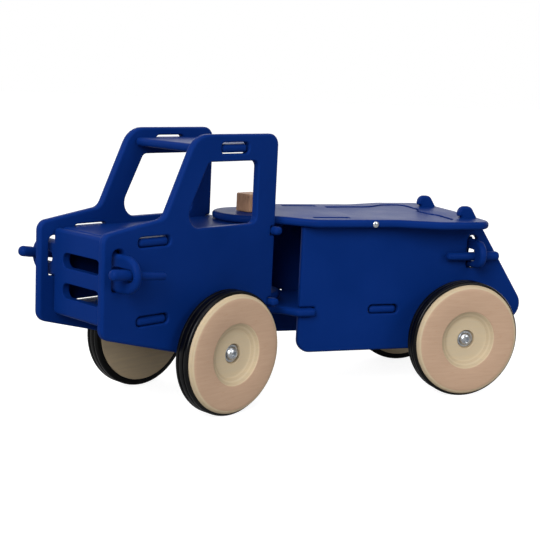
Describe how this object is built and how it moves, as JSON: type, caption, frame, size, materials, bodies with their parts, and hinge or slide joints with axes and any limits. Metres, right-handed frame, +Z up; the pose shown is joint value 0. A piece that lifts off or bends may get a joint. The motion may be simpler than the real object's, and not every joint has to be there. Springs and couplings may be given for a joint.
{
  "type": "push along truck",
  "caption": "Wooden push-along truck: interlocking painted boards, an open cab that steers, a seat with a lift-up flap over a hold, and rubber-tyred wooden wheels.",
  "frame": {"origin": "centre of the bounding box, on the floor", "axes": "+X towards the cab end, +Y to the truck's left, +Z up; the seat box lies along X and the cab is stored turned 26.5 degrees to the left"},
  "size_m": [0.6652, 0.3186, 0.33],
  "materials": {
    "blue_paint": "satin navy paint on plywood",
    "wheel_wood": "clear matt lacquer",
    "peg_wood": "bare brown hardwood",
    "tyre": "black ribbed rubber",
    "steel": "zinc plated",
    "nylon": "natural"
  },
  "bodies": {
    "chassis": {"rear_side_left": "blue_paint", "rear_side_right": "blue_paint", "seat_board": "blue_paint", "chassis_board": "blue_paint", "hold_front_wall": "blue_paint", "tail_board": "blue_paint", "tail_pin_left": "blue_paint", "tail_pin_right": "blue_paint", "steering_spacer": "nylon", "flap_screw_left": "steel", "flap_screw_right": "steel", "rear_axle": "steel", "spacer_rear_left": "nylon", "spacer_rear_right": "nylon", "washer_rear_left": "steel", "washer_rear_right": "steel", "bolt_rear_left": "steel", "bolt_rear_right": "steel"},
    "cab": {"cab_side_left": "blue_paint", "cab_side_right": "blue_paint", "roof_board": "blue_paint", "deck_board": "blue_paint", "cab_floor_board": "blue_paint", "grille_board": "blue_paint", "grille_pin_left": "blue_paint", "grille_pin_right": "blue_paint", "steering_peg": "peg_wood", "steering_rod": "steel", "steering_nut": "steel", "front_axle": "steel", "spacer_front_left": "nylon", "spacer_front_right": "nylon", "washer_front_left": "steel", "washer_front_right": "steel", "bolt_front_left": "steel", "bolt_front_right": "steel"},
    "flap": {"seat_flap": "blue_paint"},
    "wheel_front_left": {"wheel_front_left": "wheel_wood", "tyre_front_left": "tyre", "bush_front_left": "nylon"},
    "wheel_front_right": {"wheel_front_right": "wheel_wood", "tyre_front_right": "tyre", "bush_front_right": "nylon"},
    "wheel_rear_left": {"wheel_rear_left": "wheel_wood", "tyre_rear_left": "tyre", "bush_rear_left": "nylon"},
    "wheel_rear_right": {"wheel_rear_right": "wheel_wood", "tyre_rear_right": "tyre", "bush_rear_right": "nylon"}
  },
  "joints": [
    {"name": "steering", "type": "hinge", "parent": "chassis", "child": "cab", "pos_m": [0.03609, -0.04869, 0.17], "axis": [0, 0, 1], "range_deg": [-61, 8]},
    {"name": "flap_hinge", "type": "hinge", "parent": "chassis", "child": "flap", "pos_m": [-0.10351, -0.04869, 0.2215], "axis": [0, 1, 0], "range_deg": [0, 110]},
    {"name": "spin_front_left", "type": "hinge", "parent": "cab", "child": "wheel_front_left", "pos_m": [0.09531, 0.07615, 0.075], "axis": [-0.4462, 0.8949, 0], "continuous": true},
    {"name": "spin_front_right", "type": "hinge", "parent": "cab", "child": "wheel_front_right", "pos_m": [0.17143, -0.07653, 0.075], "axis": [-0.4462, 0.8949, 0], "continuous": true},
    {"name": "spin_rear_left", "type": "hinge", "parent": "chassis", "child": "wheel_rear_left", "pos_m": [-0.23121, 0.04891, 0.075], "axis": [0, 1, 0], "continuous": true},
    {"name": "spin_rear_right", "type": "hinge", "parent": "chassis", "child": "wheel_rear_right", "pos_m": [-0.23121, -0.14629, 0.075], "axis": [0, 1, 0], "continuous": true}
  ]
}
